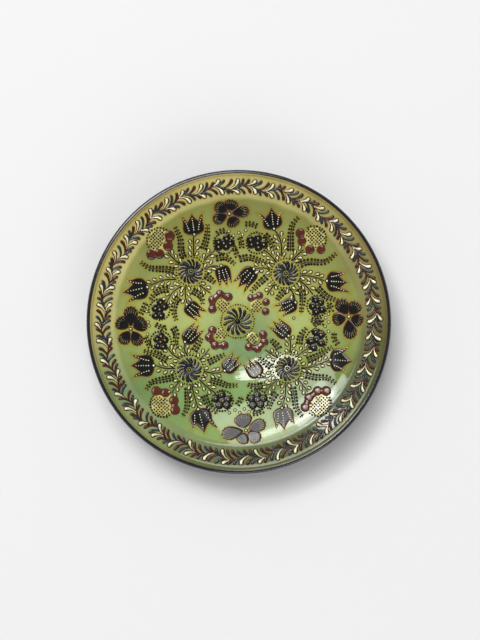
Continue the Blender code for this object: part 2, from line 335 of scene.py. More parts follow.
# ---------------------------------------------------------------------------
# The garland: a wavy stem of brown slip with brown, cream and blue leaves on both
# sides, squeezed from a slip trailer in one pass round the flange. All the slip
# on the plate is laid by the same tool, so the tool itself is made here.
INKS = {
    "black": ((0.005, 0.006, 0.007), (0.020, 0.010, 0.005), 1.42),
    "dark": ((0.007, 0.007, 0.007), (0.150, 0.040, 0.010), 1.4),
    "bark": ((0.014, 0.006, 0.003), (0.040, 0.011, 0.003), 1.3),
    "navy": ((0.007, 0.011, 0.017), (0.007, 0.005, 0.004), 1.42),
    "blue": ((0.016, 0.026, 0.038), (0.006, 0.006, 0.006), 1.5),
    "brown": ((0.055, 0.010, 0.003), (0.020, 0.005, 0.002), 1.42),
    "cream": ((0.80, 0.77, 0.44), (0.38, 0.31, 0.08), 2.2),
    "amber": ((0.54, 0.42, 0.10), (0.20, 0.11, 0.025), 1.6),
    "straw": ((0.50, 0.45, 0.14), (0.38, 0.33, 0.09), 1.5),
    "berry": ((0.095, 0.016, 0.003), (0.020, 0.005, 0.002), 1.5),
    "cherry": ((0.095, 0.016, 0.003), (0.020, 0.005, 0.002), 1.7),
    "ivory": ((0.68, 0.64, 0.31), (0.34, 0.28, 0.07), 1.9),
}
INK_NUMBERS = {name: number for number, name in enumerate(INKS)}


def slip_finish(name, crown_colour, edge_colour, gloss):
    """Slip under clear glaze: its own colour where it lies thickest, and its edge colour where it thins."""
    material, tree, shader, place = shader_nodes(name + "_slip")
    crown = add_node(tree, "ShaderNodeAttribute", {}, attribute_name="crown").outputs["Fac"]
    uneven = math_node(tree, "ADD", crown, wander(tree, place, 700.0, 0.5))
    colour = ramp(tree, uneven, [(0.18, edge_colour), (0.50, crown_colour)])
    colour = tinted(tree, colour, ramp(tree, noise(tree, place, 160.0, 3.0), [(0.3, 0.75), (0.7, 1.2)]))
    feed(tree, shader, {"Base Color": colour, "Roughness": 0.10, "IOR": gloss})
    bump(tree, shader, noise(tree, place, 1100.0, 2.0), 0.00006, 0.5)
    return material


INK_FINISHES = {name: slip_finish(name, *colours) for name, colours in INKS.items()}


def slip_tool():
    """A node tree that squeezes slip along edges and drops it on loose points, then lays it on the dish.

    Each point carries a half width, a rise above its lift off the dish, a flatness and an ink."""
    tree = bpy.data.node_groups.new("slip_trailer", "GeometryNodeTree")
    tree.interface.new_socket("Paint", in_out="INPUT", socket_type="NodeSocketGeometry")
    tree.interface.new_socket("Slip", in_out="OUTPUT", socket_type="NodeSocketGeometry")
    sizes = {"Floor height": FLOOR_HEIGHT, "Ridge height": RIDGE_HEIGHT, "Ridge radius": RIDGE_RADIUS,
             "Well curve": WELL_CURVE, "Flange slope": FLANGE_SLOPE, "Upturn radius": UPTURN_RADIUS,
             "Upturn": UPTURN, "Sunk": 0.3 * MM}
    for label, size in sizes.items():
        socket = tree.interface.new_socket(label, in_out="INPUT", socket_type="NodeSocketFloat")
        socket.default_value = size
    sides = tree.interface.new_socket("Sides", in_out="INPUT", socket_type="NodeSocketInt")
    sides.default_value = 8
    given = tree.nodes.new("NodeGroupInput").outputs

    def add(kind, inputs, **settings):
        return add_node(tree, kind, inputs, **settings).outputs

    def attribute(name):
        return add("GeometryNodeInputNamedAttribute", {"Name": name}, data_type="FLOAT")["Attribute"]

    def sum_of(operation, first, second):
        return math_node(tree, operation, first, second)

    # Poured shapes keep their faces, loose points become drops, and edges become trails.
    poured = add("GeometryNodeSeparateGeometry",
                 {"Geometry": given["Paint"], "Selection": attribute("is_pool")})
    split = add("GeometryNodeSeparateGeometry",
                {"Geometry": poured["Inverted"], "Selection": attribute("is_dot")})
    drop = add("GeometryNodeMeshUVSphere", {"Segments": 10, "Rings": 6, "Radius": 1.0})
    drops = add("GeometryNodeInstanceOnPoints", {
        "Points": split["Selection"], "Instance": drop["Mesh"], "Scale": attribute("half_width")})
    real_drops = add("GeometryNodeRealizeInstances", {"Geometry": drops["Instances"]})

    path = add("GeometryNodeMeshToCurve", {"Mesh": split["Inverted"]})
    level = add("GeometryNodeSetCurveNormal", {"Curve": path["Curve"]}, mode="Z_UP")
    swell = add("GeometryNodeSetCurveRadius", {"Curve": level["Curve"], "Radius": attribute("half_width")})
    nozzle = add("GeometryNodeCurvePrimitiveCircle", {"Radius": 1.0, "Resolution": given["Sides"]})
    trail = add_node(tree, "GeometryNodeCurveToMesh", {
        "Curve": swell["Curve"], "Profile Curve": nozzle["Curve"], "Fill Caps": True})
    if "Scale" in trail.inputs:
        feed(tree, trail, {"Scale": attribute("half_width")})

    both = tree.nodes.new("GeometryNodeJoinGeometry")
    for part in (trail.outputs["Mesh"], real_drops["Geometry"], poured["Selection"]):
        tree.links.new(part, both.inputs["Geometry"])

    # How far up the slip each point is, from 0 at its edge to 1 on its crown, kept for its colour.
    parts = add("ShaderNodeSeparateXYZ", {"Vector": add("GeometryNodeInputPosition", {})["Position"]})
    up = sum_of("DIVIDE", parts["Z"], sum_of("MAXIMUM", attribute("half_width"), 0.00002))
    marked = add("GeometryNodeStoreNamedAttribute",
                 {"Geometry": both.outputs["Geometry"], "Name": "crown", "Value": up},
                 data_type="FLOAT", domain="POINT")

    # The height of the dish under each point.
    flat = add("ShaderNodeCombineXYZ", {"X": parts["X"], "Y": parts["Y"]})
    radius = add("ShaderNodeVectorMath", {0: flat["Vector"]}, operation="LENGTH")["Value"]
    inside = sum_of("DIVIDE", sum_of("MINIMUM", radius, given["Ridge radius"]), given["Ridge radius"])
    rise = sum_of("POWER", inside, given["Well curve"])
    depth = sum_of("SUBTRACT", given["Ridge height"], given["Floor height"])
    well = sum_of("ADD", given["Floor height"], sum_of("MULTIPLY", depth, rise))
    beyond = sum_of("MAXIMUM", sum_of("SUBTRACT", radius, given["Ridge radius"]), 0.0)
    flange = sum_of("MULTIPLY", beyond, given["Flange slope"])
    turned_up = sum_of("MAXIMUM", sum_of("SUBTRACT", radius, given["Upturn radius"]), 0.0)
    turned_up = sum_of("MULTIPLY", sum_of("MULTIPLY", turned_up, turned_up), given["Upturn"])
    ground = sum_of("ADD", sum_of("ADD", well, flange), turned_up)

    # The slip stands on it: a round bead, or a pool with a flat top, sunk a little into the glaze.
    above = sum_of("MINIMUM", sum_of("MAXIMUM", attribute("crown"), 0.0), 1.0)
    hollow = sum_of("POWER", sum_of("SUBTRACT", 1.0, above), attribute("flatness"))
    bead = sum_of("MULTIPLY", sum_of("SUBTRACT", 1.0, hollow), attribute("rise"))
    sunk = sum_of("MULTIPLY", sum_of("MINIMUM", attribute("crown"), 0.0), given["Sunk"])
    height = sum_of("ADD", sum_of("ADD", ground, attribute("lift")), sum_of("ADD", bead, sunk))
    target = add("ShaderNodeCombineXYZ", {"X": parts["X"], "Y": parts["Y"], "Z": height})
    laid = add("GeometryNodeSetPosition", {"Geometry": marked["Geometry"], "Position": target["Vector"]})
    last = add("GeometryNodeSetShadeSmooth", {"Geometry": laid["Geometry"]})
    for name, number in INK_NUMBERS.items():
        chosen = add("FunctionNodeCompare", {"A": attribute("ink"), "B": number, "Epsilon": 0.3},
                     data_type="FLOAT", operation="EQUAL")
        last = add("GeometryNodeSetMaterial", {
            "Geometry": last["Geometry"], "Selection": chosen["Result"], "Material": INK_FINISHES[name]})
    tree.links.new(last["Geometry"], tree.nodes.new("NodeGroupOutput").inputs["Slip"])
    return tree


SLIP_TOOL = slip_tool()
PAINTED = []


class Paint:
    """Slip waiting to be laid as one painted piece: trails, drops and pools, in millimetres."""

    def __init__(self):
        self.points, self.edges, self.faces, self.marks = [], [], [], []

    def mark(self, spot, half_width, rise, lift, flatness, ink, kind, up=0.0):
        """One point of paint, and what it carries."""
        self.points.append((spot[0] * MM, spot[1] * MM, up * half_width * MM))
        self.marks.append((half_width * MM, rise * MM, lift * MM, flatness, INK_NUMBERS[ink],
                           float(kind == "drop"), float(kind == "pool")))

    def drop(self, spot, half_width, ink, relief=0.7, lift=0.0, flatness=1.0):
        """A single drop of slip."""
        self.mark(spot, half_width, half_width * relief, lift, flatness, ink, "drop")

    def trail(self, points, widths, ink, relief=0.6, lift=0.0, step=0.8, flatness=1.0):
        """Slip squeezed along a smooth line through points, its half width running through widths."""
        line = smooth_line(points, step)
        travelled = [0.0]
        for first, second in zip(line, line[1:]):
            travelled.append(travelled[-1] + (second - first).length)
        total = travelled[-1]
        start = len(self.points)
        for index, (spot, gone) in enumerate(zip(line, travelled)):
            along = gone / total * (len(widths) - 1)
            low = min(int(along), len(widths) - 2)
            part = along - low
            part = part * part * (3 - 2 * part)
            half = widths[low] * (1 - part) + widths[low + 1] * part
            for room in (gone, total - gone):
                if room < half:
                    half *= math.sqrt(max(1 - (1 - room / half) ** 2, 0.02))
            self.mark(spot, half, half * relief, lift, flatness, ink, "trail")
            if index:
                self.edges.append((start + index - 1, start + index))

    def pool(self, outline, ink, rise, edge, lift=0.0, grain=0.8):
        """Slip flooded inside an outline: it climbs over the edge's width to a flat top."""
        count = len(outline)
        ring = list(range(count))
        spots = [Vector(spot) for spot in outline]
        inner = filling(spots, grain)
        rims = []
        for middle, points in ((1.0, spots + inner), (-1.0, spots)):
            mesh = delaunay_2d_cdt(points, [], [ring], 1, 1e-6)
            start = len(self.points)
            kept = {source: number for number, sources in enumerate(mesh[3]) for source in sources}
            rims.append([start + kept[index] for index in ring])
            for spot in mesh[0]:
                away = edge_distance(spot, spots)
                up = min(away / edge, 1.0) if middle > 0 else -1.0
                self.mark(spot, 1.0, rise, lift, 2.2, ink, "pool", up)
            for corners in mesh[2]:
                a, b, c = (mesh[0][corner] for corner in corners)
                turn = (b - a).cross(c - a)
                face = [start + corner for corner in corners]
                self.faces.append(face if turn * middle > 0 else face[::-1])
        high, low = rims
        for index in ring:
            after = (index + 1) % count
            self.faces.append((high[index], low[index], low[after], high[after]))

    def lay(self, name, nodes=()):
        """Lays the slip with the slip tool, and gives it its place on the plate."""
        mesh = bpy.data.meshes.new(name)
        mesh.from_pydata(self.points, self.edges, self.faces)
        labels = ("half_width", "rise", "lift", "flatness", "ink", "is_dot", "is_pool")
        for label, values in zip(labels, zip(*self.marks)):
            mesh.attributes.new(label, "FLOAT", "POINT").data.foreach_set("value", values)
        piece = add_object(name, mesh)
        piece.modifiers.new("slip trailer", "NODES").node_group = SLIP_TOOL
        settle(piece)
        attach(piece, "root")
        if nodes:
            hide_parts(*nodes)
        PAINTED.extend(self.points)


def edge_distance(spot, outline):
    """Distance from a spot to the nearest side of a closed outline."""
    nearest = 1e9
    for first, second in zip(outline, outline[1:] + outline[:1]):
        side = second - first
        part = max(0.0, min(1.0, (spot - first).dot(side) / side.length_squared))
        nearest = min(nearest, (spot - first - side * part).length)
    return nearest


ROW_SPACING = 0.866


def filling(outline, grain):
    """An even scatter of spots inside an outline, clear of its sides."""
    inside = []
    low = [min(spot[axis] for spot in outline) for axis in (0, 1)]
    high = [max(spot[axis] for spot in outline) for axis in (0, 1)]
    rows = int((high[1] - low[1]) / (grain * ROW_SPACING)) + 1
    columns = int((high[0] - low[0]) / grain) + 1
    for row in range(rows):
        for column in range(columns):
            spot = Vector((low[0] + (column + 0.5 * (row % 2)) * grain, low[1] + row * grain * ROW_SPACING))
            crossings = 0
            for first, second in zip(outline, outline[1:] + outline[:1]):
                if (first.y > spot.y) != (second.y > spot.y):
                    meet = first.x + (spot.y - first.y) / (second.y - first.y) * (second.x - first.x)
                    crossings += meet > spot.x
            if crossings % 2 and edge_distance(spot, outline) > grain * 0.45:
                inside.append(spot)
    return inside


def smooth_line(points, step):
    """A smooth line through points, sampled about every step millimetres."""
    spots = [Vector(point) for point in points]
    spots = [2 * spots[0] - spots[1]] + spots + [2 * spots[-1] - spots[-2]]
    line = []
    for before, start, end, after in zip(spots, spots[1:], spots[2:], spots[3:]):
        count = max(2, round((end - start).length / step))
        for index in range(count):
            t = index / count
            bend = (2 * before - 5 * start + 4 * end - after) * t ** 2
            bend += (3 * start - 3 * end + after - before) * t ** 3
            line.append(0.5 * (2 * start + (end - before) * t + bend))
    line.append(spots[-2])
    return line


def polar(radius, degrees, centre=(0.0, 0.0)):
    """A point by its distance and direction from a centre."""
    angle = math.radians(degrees)
    return (centre[0] + radius * math.cos(angle), centre[1] + radius * math.sin(angle))


GARLAND_PIECES = 8
GARLAND_RADIUS = 142.6
GARLAND_WAVE = 2.6
GARLAND_WAVES = 26
GARLAND_LEAVES = 144
GARLAND_TIP_OUT = 153.2
GARLAND_TIP_IN = 132.6
STEM_STEPS = 40
hand = random.Random(7)


def garland_stem(degrees):
    """Radius of the wavy stem at a bearing, in millimetres."""
    sway = math.sin(math.radians(GARLAND_WAVES * degrees)) + 0.3 * math.sin(math.radians(7 * degrees))
    return GARLAND_RADIUS + GARLAND_WAVE * sway


def garland_leaf(paint, bearing, side, kind):
    """One leaf: it leaves the stem along it, then curls away and ends in a round bulb."""
    root = garland_stem(bearing)
    limit = GARLAND_TIP_OUT if side > 0 else GARLAND_TIP_IN
    bulb = {"cream": 1.85, "brown": 1.75, "blue": 1.6}[kind] * hand.uniform(0.92, 1.1)
    reach = abs(limit - root) * hand.uniform(0.88, 1.0) - bulb
    lean = hand.uniform(8.6, 10.4) if side > 0 else hand.uniform(6.8, 8.4)

    def spot(forward, out):
        radius = root + side * out
        return polar(radius, bearing - math.degrees(forward / radius))

    line = [spot(-1.5, 0.0), spot(lean * 0.35, reach * 0.16), spot(lean * 0.72, reach * 0.42),
            spot(lean * 0.95, reach * 0.72), spot(lean * 0.98, reach)]
    if kind == "cream":
        outline = line + [spot(lean, reach + 0.8)]
        paint.trail(outline, (0.6, 1.1, 1.6, bulb + 1.0, bulb + 1.05), "brown", 0.3)
        paint.trail(line, (0.25, 0.35, 0.6, bulb - 0.45, bulb - 0.2), "cream", 1.0, 0.3)
    else:
        paint.trail(line, (0.6, 1.0, 1.3, bulb, bulb), kind, 0.85, 0.1)


OUTER_LEAVES = ("brown", "cream", "blue")
INNER_LEAVES = ("brown", "cream", "blue", "brown", "blue", "brown")
span = 360 / GARLAND_PIECES
per_piece = GARLAND_LEAVES // GARLAND_PIECES
for number in range(GARLAND_PIECES):
    vine = Paint()
    first = 90 - number * span
    bearings = [first - span * step / STEM_STEPS for step in range(STEM_STEPS + 1)]
    stem = [polar(garland_stem(bearing), bearing) for bearing in bearings]
    vine.trail(stem, (0.85, 0.75, 0.85, 0.75, 0.85), "brown", 0.7, 0.1)
    for leaf in range(per_piece):
        bearing = first - (leaf + 0.3) * span / per_piece
        garland_leaf(vine, bearing + hand.uniform(-0.25, 0.25), 1, OUTER_LEAVES[leaf % 3])
        kind = INNER_LEAVES[leaf % 6] if 3 <= number <= 5 else OUTER_LEAVES[leaf % 3]
        garland_leaf(vine, bearing - 1.2 + hand.uniform(-0.25, 0.25), -1, kind)
    vine.lay("painted_garland_" + str(number + 1), ["garland_" + str(number + 1)])

# ---------------------------------------------------------------------------
# The rosette and the four wheels: curved petals of blue-black slip that turn
# about a brown boss with an amber drop on it, with a thin amber line between
# each two petals and a fringe of small dark drops round them.
WHEELS = {
    "wheel_north_west": (-51, 54),
    "wheel_north_east": (50, 52),
    "wheel_south_west": (-52.5, -50.5),
    "wheel_south_east": (51.5, -49),
}


def wheel(paint, centre, reach, petals, twist, boss):
    """A turning flower: each petal swings round by twist degrees on its way out."""
    for petal in range(petals):
        start = 360 * petal / petals + hand.uniform(-3, 3)
        out = reach * hand.uniform(0.95, 1.02)
        line = [polar(out * part, start + twist * part ** 1.4, centre) for part in (0.2, 0.42, 0.7, 1.0)]
        paint.trail(line, (0.7, 1.2, 1.65, 1.6), "navy" if petal % 4 else "blue", 0.55, 0.1)
        gap = start + 180 / petals
        line = [polar(out * part, gap + twist * part ** 1.4, centre) for part in (0.42, 0.7, 0.97)]
        paint.trail(line, (0.3, 0.5, 0.5), "amber", 0.9, 0.15)
    paint.drop(centre, boss * 1.3, "bark", 0.5, 0.4)
    paint.drop(centre, boss * 0.6, "amber", 0.7, 0.9)


def dotted_ring(paint, centre, radius, spacing, size, ink, start=0, end=360):
    """A fringe of small drops along an arc."""
    count = max(2, round(math.radians(end - start) * radius / spacing))
    for step in range(count):
        bearing = start + (end - start) * step / count
        spot = polar(radius + hand.uniform(-0.35, 0.35), bearing, centre)
        paint.drop(spot, size * hand.uniform(0.85, 1.15), ink, 0.6)


for node, centre in WHEELS.items():
    flower = Paint()
    wheel(flower, centre, reach=13.4, petals=16, twist=40, boss=1.7)
    dotted_ring(flower, centre, 15.6, spacing=3.0, size=0.95, ink="bark")
    dotted_ring(flower, centre, 18.0, spacing=6.0, size=0.8, ink="bark")
    flower.lay("painted_" + node, [node])

ROSETTE_CENTRE = (-1.3, 1.0)
rosette = Paint()
wheel(rosette, ROSETTE_CENTRE, reach=15.3, petals=13, twist=30, boss=2.4)
dotted_ring(rosette, ROSETTE_CENTRE, 17.6, spacing=2.7, size=0.85, ink="bark")
rosette.lay("painted_centre_rosette", ["centre_rosette"])

# ---------------------------------------------------------------------------
# The tulips: a cup of near-black slip, flooded flat inside a brown line that
# ends in three points, with three rows of cream drops on it and one larger
# cream drop on a black disc at its base.
TULIPS = {
    "tulip_outer_north_west_top": ((-47, 92), [(-61, 111.5), (-50, 114.5), (-38, 116)], 11.5),
    "tulip_outer_north_west_side": ((-96, 37), [(-118.5, 45.5), (-123, 30.5), (-118.5, 19)], 11.5),
    "tulip_outer_north_east_top": ((37.5, 98), [(18.5, 115.5), (34.5, 121), (46.5, 115.5)], 10.5),
    "tulip_outer_north_east_side": ((92.5, 43.5), [(113.5, 53), (115.5, 41.5), (118, 30)], 11),
    "tulip_outer_south_east_side": ((96, -40), [(117, -23.5), (120, -42), (113, -56.5)], 12.5),
    "tulip_outer_south_east_top": ((45.5, -90), [(38.5, -115), (48, -115), (61, -108.5)], 11),
    "tulip_outer_south_west_side": ((-89, -46), [(-114, -34), (-114, -46.5), (-112, -60)], 12),
    "tulip_outer_south_west_top": ((-43, -91.5), [(-50, -115), (-36, -117.5), (-20.5, -113)], 12),
    "tulip_inner_north_west": ((-19, 61), [(-20.5, 37.5), (-12, 38), (-7, 41)], 8.5),
    "tulip_inner_north_east": ((16.5, 57.5), [(-7.5, 42.5), (-1, 37), (5, 30)], 9.5),
    "tulip_inner_west_upper": ((-56, 19.5), [(-33, 11.5), (-40, 5), (-43, 0)], 8.5),
    "tulip_inner_west_lower": ((-57.5, -21.5), [(-46, 1), (-42, -2), (-36, -8)], 8.5),
    "tulip_inner_east_upper": ((61, 21.5), [(36, 17.5), (41, 11), (46, 5.5)], 8.5),
    "tulip_inner_east_lower": ((53.5, -15), [(31, -5), (36, 1.5), (41.5, 6)], 8.5),
    "tulip_inner_south_west": ((-15.5, -52), [(-6, -31), (1, -36), (4, -43)], 8.5),
    "tulip_inner_south_east": ((22, -58), [(4, -45), (10, -38), (16, -39.5)], 9),
}
DOTS_PER_ROW = 6
FIRST_DOT = 0.25
DOT_SPACING = 0.105


def placed(points, base, heading):
    """Turns points (along, across) to a heading and sets them at a base."""
    cosine, sine = math.cos(math.radians(heading)), math.sin(math.radians(heading))
    return [(base[0] + u * cosine - v * sine, base[1] + u * sine + v * cosine) for u, v in points]


def bearing_of(base, spot):
    """Heading in degrees from a base to a spot."""
    return math.degrees(math.atan2(spot[1] - base[1], spot[0] - base[0]))


def tulip_frame(base, tips):
    """A tulip's heading and length, and its tips as (along, across), left to right."""
    middle = [sum(tip[axis] for tip in tips) / 3 for axis in (0, 1)]
    heading = bearing_of(base, middle)
    local = [placed([(tip[0] - base[0], tip[1] - base[1])], (0, 0), -heading)[0] for tip in tips]
    local.sort(key=lambda tip: tip[1])
    return heading, local


def tulip_outline(tips, half):
    """The cup's outline in (along, across): round at the base, then three points with two notches."""
    right, centre, left = tips
    length = centre[0]
    curves = []
    for tip, side in ((right, -1), (left, 1)):
        flank = [(0.0, 0.0), (0.03 * length, 0.50 * half * side), (0.16 * length, 0.90 * half * side),
                 (0.36 * length, 1.0 * half * side), (0.58 * length, 0.93 * half * side),
                 (0.55 * tip[0] + 0.32 * length, 0.25 * half * side + 0.68 * tip[1]), tip]
        notch = (0.325 * (tip[0] + centre[0]), 0.5 * (tip[1] + centre[1]))
        inner = [tip, (0.5 * (tip[0] + notch[0]), 0.35 * tip[1] + 0.65 * notch[1]), notch]
        middle = [notch, (0.45 * centre[0] + 0.55 * notch[0], 0.45 * notch[1] + 0.55 * centre[1]), centre]
        curves.append([flank, inner, middle])
    outline = []
    for curve in curves[0] + [part[::-1] for part in reversed(curves[1])]:
        outline += smooth_line(curve, 0.8)[:-1]
    return [tuple(spot) for spot in outline]


for node, (base, tips, half) in TULIPS.items():
    tulip = Paint()
    heading, local = tulip_frame(base, tips)
    tulip.pool(placed(tulip_outline(local, half), base, heading), "dark", rise=0.55, edge=2.6)
    length = local[1][0]
    for row, tip in zip((-1, 0, 1), local):
        for step in range(DOTS_PER_ROW):
            part = FIRST_DOT + DOT_SPACING * step
            across = tip[1] * part ** 1.6 + row * 0.42 * half * (1 - part)
            spot = placed([(part * (tip[0] * 0.4 + length * 0.6), across * 1.05)], base, heading)[0]
            tulip.drop(spot, 0.74 - 0.03 * step, "cream", 0.9, 0.45)
    spot = placed([(0.8, 0.0)], base, heading)[0]
    tulip.drop(spot, 2.3, "black", 0.45, 0.3)
    tulip.drop(spot, 1.15, "cream", 0.7, 1.1)
    tulip.lay("painted_" + node, [node])

# ---------------------------------------------------------------------------
# The four large flowers: five broad petals of near-black slip flooded inside a
# brown line, each combed with a fan of fine lines, round a small ringed boss,
# with a few short sprigs and cream drops between them and the middle.
FLOWERS = {
    "flower_north": (
        (-10, 114.5), [(77, 15, 16), (9, 21.5, 13), (-65, 15, 15), (204, 19, 13), (147, 18, 13.5)],
        [[(-14, 97.5), (-19, 96.5), (-24, 93.5)], [(6, 104), (13, 104), (20, 101.5)],
         [(0.5, 91), (2.5, 86), (3, 80)], [(-1.5, 80), (-4, 78), (-1.5, 70.5)]],
        [(-10.5, 96.5), (7.5, 97.5), (-5.5, 92), (4, 93), (0, 95)]),
    "flower_east": (
        (116, 5.5), [(57, 18, 15), (-24, 16, 14.5), (-85, 24, 15), (192, 17.5, 15), (120, 21, 15.5)],
        [[(76, 3), (81, 2), (87, 2.5)], [(79, -4), (84, -0.5), (89, -0.5)],
         [(95, 20), (97.5, 16), (98, 12)], [(101, -11), (101, -18), (105, -24.5)]],
        [(92, 4.5), (95, 8.5), (95, 0), (91.5, -4.5), (95, -10), (58.5, 4.5)]),
    "flower_south": (
        (7.5, -114.5), [(104, 18, 20), (22, 22.5, 14), (-36, 18.5, 14.5), (-110, 15, 14), (190, 26, 15)],
        [[(3, -79), (1, -84), (-2, -88)], [(14, -97), (19, -96.5), (25, -94)]],
        [(-4, -93), (6, -92), (1, -96), (-10, -96), (11, -95)]),
    "flower_west": (
        (-114, -7.5), [(90, 24, 15.5), (28, 18, 18), (-60, 20, 13.5), (-122, 19, 13.5), (148, 17.5, 16)],
        [[(-89, -2), (-80, -6.5), (-77, -4.5)], [(-98, 21), (-101, 14), (-104, 8)],
         [(-99, -15), (-97, -20), (-94, -26)]],
        [(-97.5, 11), (-96, 0), (-95, -4), (-96.5, -13)]),
}
FAN = (-2.5, -1.5, -0.5, 0.5, 1.5, 2.5)
PETAL_STEPS = 24


def petal_outline(reach, width):
    """A fan-shaped petal in (along, across), with a scalloped edge."""
    flank = [(2.6, 0.5), (0.25 * reach, 0.24 * width), (0.45 * reach, 0.42 * width),
             (0.66 * reach, 0.5 * width)]
    flank = [tuple(spot) for spot in smooth_line(flank, 0.8)]
    outline = [(u, -v) for u, v in flank]
    for step in range(1, PETAL_STEPS):
        turn = math.pi * (step / PETAL_STEPS - 0.5)
        wave = 1 + 0.06 * math.cos(turn * 12)
        along = 0.66 * reach + 0.34 * reach * math.cos(turn) * wave
        outline.append((along, 0.5 * width * math.sin(turn) * wave))
    return outline + flank[::-1]


def sprig(paint, points):
    """A short fern: a fine stem with dark touches on both sides."""
    paint.trail(points, (0.6, 0.55, 0.45), "black", 0.8)
    line = smooth_line(points, 1.7)
    for before, spot in zip(line[::2], line[1::2]):
        heading = bearing_of(before, spot)
        for side in (1, -1):
            paint.drop(placed([(0.3, side * 1.9)], spot, heading)[0], 1.3, "bark", 0.6)


for node, (centre, petals, sprigs, drops) in FLOWERS.items():
    flower = Paint()
    for heading, reach, width in petals:
        flower.pool(placed(petal_outline(reach, width), centre, heading), "dark", rise=0.5, edge=2.5)
        for fan in FAN:
            far = 0.94 - 0.018 * fan * fan
            line = [(reach * (far - 0.3), fan * 0.095 * width), (reach * far, fan * 0.155 * width)]
            flower.trail(placed(line, centre, heading), (0.08, 0.16, 0.18), "straw", 1.0, 0.44, 2.5)
    for points in sprigs:
        sprig(flower, points)
    for spot in drops:
        flower.drop(spot, 1.9, "bark", 0.25)
        flower.drop(spot, 1.2, "ivory", 0.8, 0.3)
    flower.drop(centre, 2.2, "black", 0.5, 0.2)
    flower.drop(centre, 1.15, "cream", 0.7, 1.0)
    flower.lay("painted_" + node, [node])

# ---------------------------------------------------------------------------
# The eight star flowers: six round drops of blue-black slip run together, each
# with a brown and an amber drop on its crown, inside a fringe of dark drops.
STARS = {
    "star_north_west": [(-16, 84), (-21.5, 85), (-13, 88.5), (-9, 84), (-13.5, 80.5), (-21.5, 80)],
    "star_north_east": [(20, 84), (12.5, 87.5), (20.5, 89), (26.5, 82.5), (21, 79.5), (13.5, 82.5)],
    "star_west_upper": [(-84, 13.5), (-83, 21), (-79, 16.5), (-88.5, 14.5), (-88, 7), (-82.5, 7)],
    "star_west_lower": [(-83, -21), (-82.5, -15), (-86.5, -18), (-78.5, -19), (-85.5, -25), (-80, -26)],
    "star_east_upper": [(83.5, 16.5), (81.5, 23.5), (86.5, 21), (78.5, 17), (88, 13.5), (82, 11)],
    "star_east_lower": [(82.5, -18.5), (81.5, -10.5), (87, -13.5), (76.5, -20), (87, -22), (79, -27)],
    "star_south_west": [(-17, -83.5), (-18, -77), (-24.5, -81), (-11.5, -82), (-20.5, -88), (-12.5, -88)],
    "star_south_east": [(20, -82.5), (19.5, -77.5), (13.5, -81), (26, -81), (15, -88), (23, -87)],
}
LOBE_RADIUS = 4.6
FRINGE_RADIUS = 11.0
for node, lobes in STARS.items():
    star = Paint()
    middle = [sum(lobe[axis] for lobe in lobes) / len(lobes) for axis in (0, 1)]
    for lobe in lobes:
        star.drop(lobe, LOBE_RADIUS, "black", 0.16, flatness=2.2)
        star.drop(lobe, 1.6, "brown", 0.45, 0.6)
        star.drop(lobe, 0.85, "amber", 0.7, 1.1)
    dotted_ring(star, middle, FRINGE_RADIUS, spacing=2.9, size=1.15, ink="bark")
    star.lay("painted_" + node, [node])

# ---------------------------------------------------------------------------
# The berries: large domed drops of red-brown slip run together in an arc, beside
# a bed of pale slip under a net of small dark drops. The outer clusters have a
# fringe as well.
BERRIES = {
    "berries_inner_north_west": ([(-28, 14), (-28, 24), (-20, 30), (-11, 27)], 4.9, (-16.5, 18), 8.0),
    "berries_inner_north_east": ([(13, 26), (22, 28.5), (29, 21.5), (28.5, 11.5)], 4.3, (18, 17.5), 7.5),
    "berries_inner_south_east": ([(26, -13), (27, -21), (20, -28), (11, -26)], 4.8, (14.5, -16.5), 7.5),
    "berries_inner_south_west": (
        [(-28, -8.5), (-31.5, -16), (-25, -24.5), (-15.5, -24.5)], 4.9, (-19.5, -12.5), 7.5),
    "berries_outer_north_west": ([(-73, 91), (-75, 80.5), (-84, 72), (-92.5, 71)], 5.5, (-83, 85), 14.0),
    "berries_outer_north_east": ([(65, 94), (67, 85.5), (75.5, 77), (87, 76.5)], 5.0, (79.5, 88), 13.0),
    "berries_outer_south_west": (
        [(-87, -73), (-77.5, -75), (-68.5, -83), (-67, -93)], 5.3, (-79.5, -87), 13.5),
    "berries_outer_south_east": ([(92, -73), (83, -73), (74, -80), (70, -90)], 5.3, (83.5, -86), 13.5),
}
TOUCHING_GAP = 1.2
NECK_SHARE = 0.72
NET_PITCH = 2.6
ROSETTE_REACH = 18.5
for node, (beads, size, net_centre, net_reach) in BERRIES.items():
    cluster = Paint()
    ink = "berry" if "outer" in node else "cherry"
    for bead in beads:
        cluster.drop(bead, size * hand.uniform(0.96, 1.04), ink, 0.30, flatness=1.6)
    for first, second in zip(beads, beads[1:]):
        if math.dist(first, second) < 2 * size + TOUCHING_GAP:
            neck = size * NECK_SHARE
            cluster.trail([first, second], (neck, neck * 0.92, neck), ink, 0.36, flatness=1.6)
    bed = [polar(net_reach - 0.8, bearing, net_centre) for bearing in range(0, 360, 10)]
    cluster.pool(bed, "straw", rise=0.12, edge=1.0, lift=-0.05, grain=1.6)
    count = int(net_reach / NET_PITCH * 1.5) + 1
    for row in range(-count, count + 1):
        for column in range(-count, count + 1):
            spot = (net_centre[0] + NET_PITCH * (row + column) * 0.71 + hand.uniform(-0.25, 0.25),
                    net_centre[1] + NET_PITCH * (row - column) * 0.71 + hand.uniform(-0.25, 0.25))
            clear = min(math.dist(spot, bead) for bead in beads) > size + 0.9
            clear = clear and math.dist(spot, ROSETTE_CENTRE) > ROSETTE_REACH
            if clear and math.dist(spot, net_centre) < net_reach - 1.6:
                cluster.drop(spot, hand.uniform(0.95, 1.15), hand.choice(("black", "bark")), 0.55)
    if "outer" in node:
        far = bearing_of((0, 0), net_centre)
        dotted_ring(cluster, net_centre, net_reach, 3.1, 1.15, "bark", far - 85, far + 85)
    cluster.lay("painted_" + node, [node])

